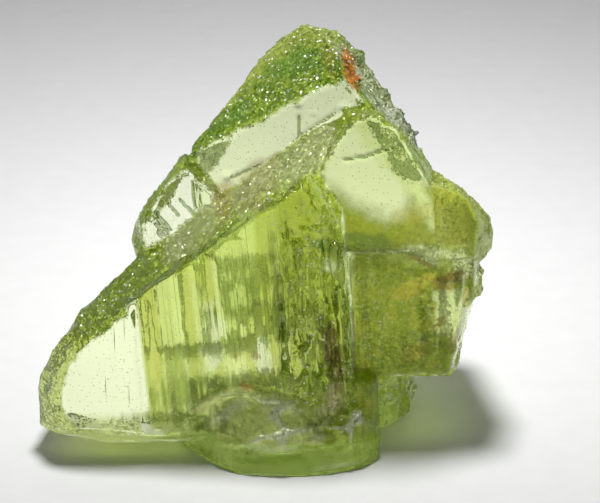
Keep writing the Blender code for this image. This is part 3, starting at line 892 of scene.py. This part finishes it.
def crystal_marks(graph):
    """The crystal's attributes, its places in millimetres, and its finest patterns, in cells per mm."""
    names = ("milky", "grit", "broken", "striated", "rough", "shell", "crest")
    marks = SimpleNamespace(**{name: graph.attribute(name) for name in names})
    marks.tint = graph.attribute("tint", "Color")
    marks.line = graph.attribute("line").over(0.78, 0.88)

    # Places: as they are, across the striations, and shortened along them, which draws patterns out
    marks.in_mm = graph.node("ShaderNodeTexCoord", output="Object").times((1.0 / MM, 1.0 / MM, 1.0 / MM))
    marks.far_side = marks.in_mm.dot((0.0, 1.0, 0.0)).over(0.0, 1.5)
    marks.upright = marks.in_mm.dot((1.0, 0.0, LEAN))
    marks.drawn_out = marks.in_mm.times((1.0, 0.3, 0.12))

    marks.fine_grit, marks.grit_colour = graph.facets(marks.in_mm, 11.0)
    marks.coarse_grit, _ = graph.facets(marks.in_mm, 5.0)
    marks.wide_bars, marks.wide_colour = graph.bars(marks.upright, 2.6)
    marks.thin_bars, _ = graph.bars(marks.upright, 8.0)
    marks.gaps = graph.gaps(marks.upright, 4.6)
    marks.fading = graph.noise(marks.drawn_out, 1.8, 3.0).over(0.42, 0.62)
    marks.ragged, marks.ragged_colour = graph.facets(marks.drawn_out.times((1.0, 2.0, 2.0)), 3.6)
    return marks


def crystal_bump(graph, marks, steepness):
    """The normal bent by the finest marks, whose heights are in millimetres."""
    height = marks.grit * (marks.fine_grit * steepness + marks.coarse_grit * steepness * 0.7)
    height = height + marks.striated * (marks.wide_bars * 0.3 + marks.thin_bars * marks.fading * 0.6)
    height = height + marks.milky * (1.0 - marks.shell) * marks.fine_grit * 0.4
    height = height + marks.rough * marks.ragged * 1.2
    height = height + marks.broken * (marks.fine_grit * 1.2 + marks.coarse_grit * 1.6)
    height = height - marks.line * 0.04
    return graph.node("ShaderNodeBump", {"Height": height, "Strength": 1.0, "Distance": MM})


def crystal_painted_glints(graph, marks):
    """Painted glints: a mask of bright flecks on the frosted and broken parts, uneven by a small random
    shift.
    """
    shift = graph.noise(marks.in_mm, 9.0, 1.0, output="Color").times((0.12, 0.12, 0.12))
    near, kind = graph.spots(marks.in_mm.plus(shift), 8.0)
    gritty = marks.grit + marks.rough * 0.7 + marks.striated * 0.2 + marks.broken * 0.8
    return gritty * (near + kind.part("Green") * 0.3).over(0.52, 0.40) * kind.part("Red").over(0.76, 0.78)


def crystal_tint(graph, marks, painted_glint):
    """The painted tint under the finest marks' colours, each blended in by its mask."""
    milky, striated = marks.milky, marks.striated
    near, kind = graph.spots(marks.in_mm, 6.5)
    dots = near.over(0.20, 0.12) * kind.part("Blue").over(0.35, 0.4) * (1.0 - milky)
    grain = graph.noise(marks.in_mm, 5.0, 4.0, 0.75)
    streaks = graph.noise(marks.drawn_out, 4.0, 3.0, 0.6)
    coats = [
        (striated * marks.wide_colour.part("Green").over(0.45, 0.9) * 0.5, BAR_OLIVE),
        # Painted shade in the gaps between the upright bars
        (striated * marks.gaps.over(0.09, 0.03) * marks.fading * 0.9, GAP_SHADE),
        (marks.grit * marks.grit_colour.part("Green").over(0.55, 0.9) * 0.5, GRIT_DARK),
        (marks.rough * marks.ragged_colour.part("Green").over(0.6, 0.9) * 0.6, RAGGED_DARK),
        (dots * 0.85, DOT_DARK),
        (marks.line * 0.85, DOT_DARK),
        (milky * grain.over(0.52, 0.38) * 0.6, GRAIN_DARK),
        (milky * grain.over(0.56, 0.68) * 0.6, GRAIN_PALE),
        (milky * striated * streaks.over(0.5, 0.62) * 0.7, STREAK_PALE),
        # Painted glints: white flecks that stand for sparkles of light
        (painted_glint, GLINT_PAINT_WHITE),
    ]
    tint = marks.tint
    for mask, colour in coats:
        tint = graph.mix(mask, tint, colour)
    return tint


def crystal_material(settings):
    """Clear crystal that takes up light, blended with a frosty one where it is milky or has painted glints.
    """
    material = bpy.data.materials.new("clear_peridot")
    graph = Graph(material)
    marks = crystal_marks(graph)
    normal = crystal_bump(graph, marks, settings.grit)
    painted_glint = crystal_painted_glints(graph, marks)
    tint = crystal_tint(graph, marks, painted_glint)
    shared = {
        "Base Color": tint,
        "IOR": settings.refraction,
        "Specular Tint": GLOSS_TINT,
        "Normal": normal,
    }
    own = {
        "Roughness": 0.015 + marks.grit * (0.3 + marks.far_side * 0.4) + marks.striated * 0.12,
        "Transmission Weight": 1.0,
    }
    clear = graph.node("ShaderNodeBsdfPrincipled", shared | own)
    own = {
        "Roughness": 0.4 + marks.far_side * 0.4,
        "Specular IOR Level": 0.2,
        "Metallic": painted_glint * 0.6 + marks.crest * 0.5,
        "Transmission Weight": 0.35,
    }
    frosty = graph.node("ShaderNodeBsdfPrincipled", shared | own)
    milky = (marks.milky + painted_glint * (1.0 - marks.milky)).clamped()
    shader = graph.node("ShaderNodeMixShader", {0: milky, 1: clear, 2: frosty})
    body = {"Color": (*settings.body_colour, 1.0), "Density": settings.absorption}
    volume = graph.node("ShaderNodeVolumeAbsorption", body)
    graph.make("ShaderNodeOutputMaterial", {"Surface": shader, "Volume": volume})
    return material


def floor_material(settings):
    """Matt white with a faint grain."""
    material = bpy.data.materials.new("matt_white_floor")
    graph = Graph(material)
    grain = graph.noise(graph.node("ShaderNodeTexCoord", output="Object"), 900.0, 3.0)
    colour = graph.mix(grain, FLOOR_GRAIN, settings.floor_colour)
    inputs = {"Base Color": colour, "Roughness": 0.75, "Specular IOR Level": 0.2}
    graph.make("ShaderNodeOutputMaterial", {"Surface": graph.node("ShaderNodeBsdfPrincipled", inputs)})
    return material


# Stage


def add_floor(scene, settings):
    """A wide matt square under the crystal."""
    floor = bpy.data.objects.new("floor", floor_mesh("floor", settings.floor_width, 3))
    floor.data.materials.append(floor_material(settings))
    scene.collection.objects.link(floor)


def add_lamp(scene, settings):
    """A round soft lamp over the crystal, turned to its aim."""
    lamp = bpy.data.lights.new("overhead_softbox", "AREA")
    lamp.shape, lamp.size, lamp.energy = "DISK", settings.lamp_size, settings.lamp_power
    lamp.spread = settings.lamp_spread
    holder = bpy.data.objects.new("overhead_softbox", lamp)
    place = Vector((*settings.lamp_place, settings.lamp_height))
    aim = Vector((*settings.lamp_aim, 0.0)) - place
    holder.matrix_world = Matrix.Translation(place) @ aim.to_track_quat("-Z", "Y").to_matrix().to_4x4()
    scene.collection.objects.link(holder)


def add_surround(scene, settings):
    """Light from all round: faint from high up, more from the pale walls low down, most from behind."""
    world = bpy.data.worlds.new("soft_surround")
    graph, top = Graph(world), math.sin(settings.wall_top)
    direction = graph.node("ShaderNodeTexCoord", output="Generated")
    low = direction.dot((0.0, 0.0, 1.0)).over(top + 0.1, top - 0.1)
    behind = direction.dot((0.0, 1.0, 0.0)).over(0.3, 0.7)
    strength = settings.surround + low * (settings.horizon + behind * settings.rear_panel)
    background = graph.node("ShaderNodeBackground", {"Color": (1.0, 1.0, 1.0, 1.0), "Strength": strength})
    graph.make("ShaderNodeOutputWorld", {"Surface": background})
    scene.world = world


def add_camera(scene, settings):
    """A long lens in front of the crystal, looking down at it."""
    camera = bpy.data.cameras.new("camera")
    camera.lens, camera.sensor_width, camera.clip_start = CAMERA_LENS, CAMERA_SENSOR, MM
    viewer = bpy.data.objects.new("camera", camera)
    target, tilt = Vector((CAMERA_TARGET + DRAWN_OFFSET) * MM), settings.camera_tilt
    place = target + settings.camera_distance * Vector((0.0, -math.cos(tilt), math.sin(tilt)))
    viewer.matrix_world = Matrix.Translation(place) @ Matrix.Rotation(math.pi / 2 - tilt, 4, "X")
    scene.collection.objects.link(viewer)
    scene.camera = viewer
    scene.view_settings.view_transform = "Standard"


# Settings


class CrystalSettings(bpy.types.PropertyGroup):
    """Sizes and colours of the crystal"""

    voxel: FloatProperty(
        name="Face size", description="Remeshed faces' size", default=0.1 * MM, min=0.05 * MM, unit="LENGTH"
    )
    edge_rounds: IntProperty(
        name="Edge softness", description="How far frost spreads over clear faces, in faces", default=12
    )
    heal_rounds: IntProperty(
        name="Healing", description="How far the shoulder's steps are smoothed, in faces", default=60
    )
    grit: FloatProperty(name="Grit", description="Steepness of the frosted facets", default=1.3)
    seed: IntProperty(name="Seed", description="Chooses another arrangement of marks", default=3)
    body_colour: FloatVectorProperty(
        name="Body colour",
        description="Colour that thick crystal keeps",
        default=(0.80, 0.96, 0.10),
        subtype="COLOR",
        min=0.0,
        max=1.0,
    )
    absorption: FloatProperty(
        name="Absorption", description="How strongly the body takes up light, per metre", default=100.0
    )
    refraction: FloatProperty(name="Refraction", description="Index of refraction of olivine", default=1.66)


class StageSettings(bpy.types.PropertyGroup):
    """Sizes, places and brightness of the floor, the lights and the camera"""

    floor_width: FloatProperty(
        name="Floor width", description="Length of the floor's sides", default=1.2, unit="LENGTH"
    )
    floor_colour: FloatVectorProperty(
        name="Floor",
        description="Colour of the floor",
        default=(0.92, 0.92, 0.92),
        subtype="COLOR",
        min=0.0,
        max=1.0,
    )
    lamp_height: FloatProperty(
        name="Lamp height", description="Height of the lamp over the floor", default=0.080, unit="LENGTH"
    )
    lamp_place: FloatVectorProperty(
        name="Lamp place", description="Where the lamp hangs", default=(0.001, 0.003), size=2, unit="LENGTH"
    )
    lamp_aim: FloatVectorProperty(
        name="Lamp aim", description="Where the lamp looks", default=(0.0012, 0.013), size=2, unit="LENGTH"
    )
    lamp_spread: FloatProperty(
        name="Lamp spread", description="Angle of the beam", default=math.radians(91.0), subtype="ANGLE"
    )
    lamp_size: FloatProperty(
        name="Lamp size", description="Width of the soft lamp", default=0.016, unit="LENGTH"
    )
    lamp_power: FloatProperty(name="Lamp power", description="Power of the lamp in watts", default=0.0162)
    surround: FloatProperty(
        name="Surround", description="Brightness of the light from high all round", default=0.03
    )
    horizon: FloatProperty(
        name="Horizon", description="Brightness of the pale walls low all round", default=0.12
    )
    rear_panel: FloatProperty(
        name="Rear panel", description="Brightness that a soft panel behind the crystal adds", default=0.5
    )
    wall_top: FloatProperty(
        name="Wall top", description="Height of the walls", default=math.radians(48.0), subtype="ANGLE"
    )
    camera_distance: FloatProperty(
        name="Camera distance", description="From camera to crystal", default=0.110, unit="LENGTH"
    )
    camera_tilt: FloatProperty(
        name="Camera tilt", description="How far it looks down", default=CAMERA_TILT, subtype="ANGLE"
    )


# Operators


class CRYSTAL_OT_build(bpy.types.Operator):
    """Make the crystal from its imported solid: remesh, carve and give it its material"""

    bl_idname = "crystal.build"
    bl_label = "Build Crystal"

    def execute(self, context):
        settings = context.scene.crystal_settings
        crystal = remeshed_copy("crystal", NODE, settings.voxel)
        far_side = carve(crystal.data, settings)
        thin_out(crystal, far_side, MOST_TRIANGLES)
        crystal.data.materials.append(crystal_material(settings))
        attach(crystal, "root")
        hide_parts(NODE)
        return {"FINISHED"}


class CRYSTAL_OT_stage(bpy.types.Operator):
    """Make the floor, the soft lamp, the light from all round and the camera"""

    bl_idname = "crystal.stage"
    bl_label = "Build Stage"

    def execute(self, context):
        for add in (add_floor, add_lamp, add_surround, add_camera):
            add(context.scene, context.scene.stage_settings)
        return {"FINISHED"}


class CRYSTAL_PT_panel(bpy.types.Panel):
    """The crystal's settings and the buttons that build it"""

    bl_idname = "CRYSTAL_PT_panel"
    bl_label = "Peridot Crystal"
    bl_space_type = "VIEW_3D"
    bl_region_type = "UI"
    bl_category = "Crystal"

    def draw(self, context):
        for settings, operator in (
            (context.scene.crystal_settings, CRYSTAL_OT_build),
            (context.scene.stage_settings, CRYSTAL_OT_stage),
        ):
            box = self.layout.box()
            for name in type(settings).__annotations__:
                box.prop(settings, name)
            box.operator(operator.bl_idname)


CLASSES = (CrystalSettings, StageSettings, CRYSTAL_OT_build, CRYSTAL_OT_stage, CRYSTAL_PT_panel)


def register():
    for cls in CLASSES:
        bpy.utils.register_class(cls)
    bpy.types.Scene.crystal_settings = PointerProperty(type=CrystalSettings)
    bpy.types.Scene.stage_settings = PointerProperty(type=StageSettings)


def unregister():
    del bpy.types.Scene.stage_settings
    del bpy.types.Scene.crystal_settings
    for cls in reversed(CLASSES):
        bpy.utils.unregister_class(cls)


def main():
    register()
    bpy.ops.crystal.build()
    bpy.ops.crystal.stage()


if __name__ == "__main__":
    main()
